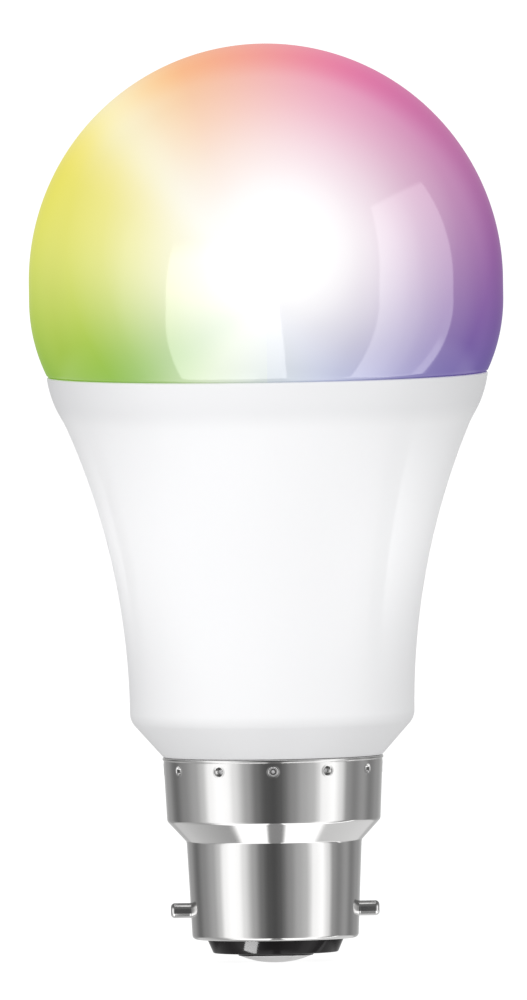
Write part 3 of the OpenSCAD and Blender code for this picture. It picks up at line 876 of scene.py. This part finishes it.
studioPlan = {
    "gain": 1.25,            # brightness of what the metal mirrors
    "high": 0.965,           # even light from above
    "low": 0.65,             # and from below
    "ceiling": 0.12,
    "floorSize": 7.0,
    "floorTone": 0.15,
    "floorGlow": 0.95,
    # panels and dark gaps round the room, from behind, through the left, the front and the right
    "bands": [
        (0.0, 0.47), (0.083, 0.27), (0.144, 0.13), (0.189, 0.22), (0.245, 0.34), (0.272, 0.5), (0.30, 0.9),
        (0.33, 1.0), (0.36, 0.96), (0.38, 0.72), (0.42, 0.34), (0.45, 0.15), (0.475, 0.075), (0.50, 0.062),
        (0.52, 0.085), (0.56, 0.24), (0.59, 0.37), (0.62, 0.45), (0.655, 0.9), (0.69, 1.0), (0.715, 0.7),
        (0.74, 0.27), (0.77, 0.20), (0.81, 0.28), (0.85, 0.18), (0.90, 0.26), (1.0, 0.47),
    ],
    # what the cap's shoulder mirrors from below: two panels in front, and the sides behind them
    "gapTone": 0.22,
    "panelTone": 1.15,
    "leftSide": [(0.1, 0.30), (0.75, 0.50)],
    "rightSide": [(0.1, 0.52), (0.75, 0.60)],
}


def makeFloor(plan):
    size = plan["floorSize"]
    mesh = bpy.data.meshes.new("floor")
    mesh.from_pydata([plainSpin(size, 0, angle) for angle in evenTurns(96)], [], [list(range(96))])
    floor = bpy.data.objects.new("floor", mesh)
    scene.collection.objects.link(floor)
    finish = Finish("paleFloor")
    cloud = finish.noise(finish.place(), 3.0, 2.0)
    mesh.materials.append(finish.set({
        "Base Color": finish.mix(cloud, plan["floorTone"], plan["floorTone"] + 0.01),
        "Roughness": 1.0,
        "Specular IOR Level": 0.0,
        "Emission Color": (1, 1, 1, 1),
        "Emission Strength": plan["floorGlow"],
    }))
    # the light from below reaches the lamp through the floor
    floor.visible_glossy = False
    floor.visible_diffuse = False
    floor.visible_shadow = False


def makeSurroundings(plan):
    world = bpy.data.worlds.new("studio")
    scene.world = world
    world.use_nodes = True
    sheet = Sheet(world.node_tree)
    x, y, z = sheet.parts(sheet.node("ShaderNodeTexCoord", {}, {}, "Generated"))
    azimuth = sheet.maths("ARCTAN2", x, 0 - y) / (2 * math.pi) + 0.5
    bands = sheet.ramp(azimuth, plan["bands"], "EASE")
    # below the horizon, seen by the cap's shoulder
    slot = sheet.step((x - 0.022) * (x - 0.022), 0.006, 0.012)
    panels = sheet.mix(slot, plan["gapTone"], plan["panelTone"])
    onRight = sheet.step(x, -0.1, 0.1)
    sides = sheet.mix(onRight, sheet.ramp(y, plan["leftSide"]), sheet.ramp(y, plan["rightSide"]))
    front = 1 - sheet.step(y - 0.1 * x, 0.08, 0.15)
    behind = sheet.step(y, 0.0, 0.15)
    below = sheet.step(behind * 0.42 - z, 0.68, 0.80)
    ring = sheet.mix(below, bands, sheet.mix(front, sides, panels))
    mirrored = sheet.mix(sheet.step(z, 0.25, 0.75), ring, plan["ceiling"])
    # metal sees the panels, everything else gets even light
    even = sheet.mix(sheet.step(z, -0.3, 0.3), plan["low"], plan["high"])
    glossy = sheet.node("ShaderNodeLightPath", {}, {}, "Is Glossy Ray")
    values = {"Color": sheet.mix(glossy, even, mirrored), "Strength": 1 + glossy * (plan["gain"] - 1)}
    sheet.node("ShaderNodeOutputWorld", {}, {"Surface": sheet.node("ShaderNodeBackground", {}, values)})


keyShape = {
    "piece": housing, "mirrored": False, "rise": 0, "distance": 0.12, "size": (0.06, 0.06), "target": 58,
}

# narrow beams lift the hollow flank
beamShape = {
    "piece": housing, "mirrored": False, "rise": 0, "distance": 0.12, "size": (0.09, 0.022), "target": 55,
    "spread": 16,
}

# Angles are in degrees: azimuth 0 is in front and grows to the right, and rise is up from level.
# Sizes and distances are in metres; target is a height on the lamp's axis, in millimetres.
# A mirrored light is seen only as a reflection, the others only shade.
lightPlan = {
    "domePanelLeft": {
        "piece": dome, "mirrored": True, "azimuth": -21.5, "rise": -12, "distance": 0.6, "size": (0.66, 1.1),
        "target": 88, "radiance": 2.6,
        "drop": 0.12,        # lowers it without tilting it
        "mask": {"topFade": 0.16, "nearCut": -0.1, "nearLean": 0.0, "farLean": -0.1, "footGain": 0.5},
    },
    "domePanelRight": {
        "piece": dome, "mirrored": True, "azimuth": 79, "rise": 0, "distance": 0.6, "size": (0.75, 1.3),
        "target": 88, "radiance": 1.6,
        "drop": 0.25,
        "slide": 0.1015,     # moves it in its own plane, towards the front
        "mask": {"topFade": 0.02, "nearCut": 0.245, "nearLean": 0.12, "farLean": 0.13, "footGain": 1.3},
    },
    "housingKeyFront": {**keyShape, "azimuth": -10, "radiance": 2.75},
    "housingKeyBack": {**keyShape, "azimuth": 170, "radiance": 2.1},
    "flankBeamFront": {**beamShape, "azimuth": -10, "radiance": 0.22},
    "flankBeamLeft": {**beamShape, "azimuth": -112, "radiance": 0.2},
    "flankBeamRight": {**beamShape, "azimuth": 106, "radiance": 0.17},
    "flankBeamBack": {**beamShape, "azimuth": 175, "radiance": 0.2},
    "capGlint": {
        "piece": insulator, "mirrored": True, "azimuth": -48, "rise": -33, "distance": 0.4,
        "size": (0.14, 0.2), "target": 3, "radiance": 24.0,
        "roll": -32,         # turns it about its own axis
    },
}


def aimed(name, plan):
    # a rectangular softbox that looks at a point on the lamp's axis
    width, height = plan["size"]
    data = bpy.data.lights.new(name, "AREA")
    data.shape = "RECTANGLE"
    data.size = width
    data.size_y = height
    data.energy = plan["radiance"] * math.pi * width * height
    light = bpy.data.objects.new(name, data)
    scene.collection.objects.link(light)
    azimuth = math.radians(plan["azimuth"])
    rise = math.radians(plan["rise"])
    side = Vector((math.cos(azimuth), math.sin(azimuth), 0))
    away = Vector((math.sin(azimuth) * math.cos(rise), -math.cos(azimuth) * math.cos(rise), math.sin(rise)))
    light.location = Vector((0, 0, plan["target"] * mm - plan.get("drop", 0))) + away * plan["distance"]
    light.location -= side * plan.get("slide", 0)
    light.rotation_euler = away.to_track_quat("Z", "Y").to_euler()
    light.rotation_euler.rotate_axis("Z", math.radians(plan.get("roll", 0)))
    return light


def maskPanel(light, mask):
    # fades the panel's top, leans both its edges, and brightens its foot
    light.data.use_nodes = True
    sheet = Sheet(light.data.node_tree)
    across, height, _ = sheet.parts(sheet.node("ShaderNodeNewGeometry", {}, {}, "Parametric"))
    blur = 0.02
    depth = 1 - height
    top = sheet.step(depth, 0.0, mask["topFade"])
    near = sheet.step(across - mask["nearCut"] - height ** 3 * mask["nearLean"], 0.0, blur)
    far = sheet.step(1 - across - depth * depth * mask["farLean"], 0.0, blur)
    strength = top * near * far * (1 + depth * mask["footGain"])
    glow = sheet.node("ShaderNodeEmission", {}, {"Strength": strength})
    sheet.node("ShaderNodeOutputLight", {}, {"Surface": glow})


def makeLights(plans):
    for name, plan in plans.items():
        light = aimed(name, plan)
        light.visible_diffuse = not plan["mirrored"]
        light.visible_glossy = plan["mirrored"]
        if "spread" in plan:
            light.data.spread = math.radians(plan["spread"])
        if "mask" in plan:
            maskPanel(light, plan["mask"])
        # each light reaches one piece only
        group = bpy.data.collections.new(name + "Receivers")
        group.objects.link(plan["piece"])
        light.light_linking.receiver_collection = group


makeFloor(studioPlan)
makeSurroundings(studioPlan)
makeLights(lightPlan)
scene.view_settings.view_transform = "Standard"
print("studio lit")
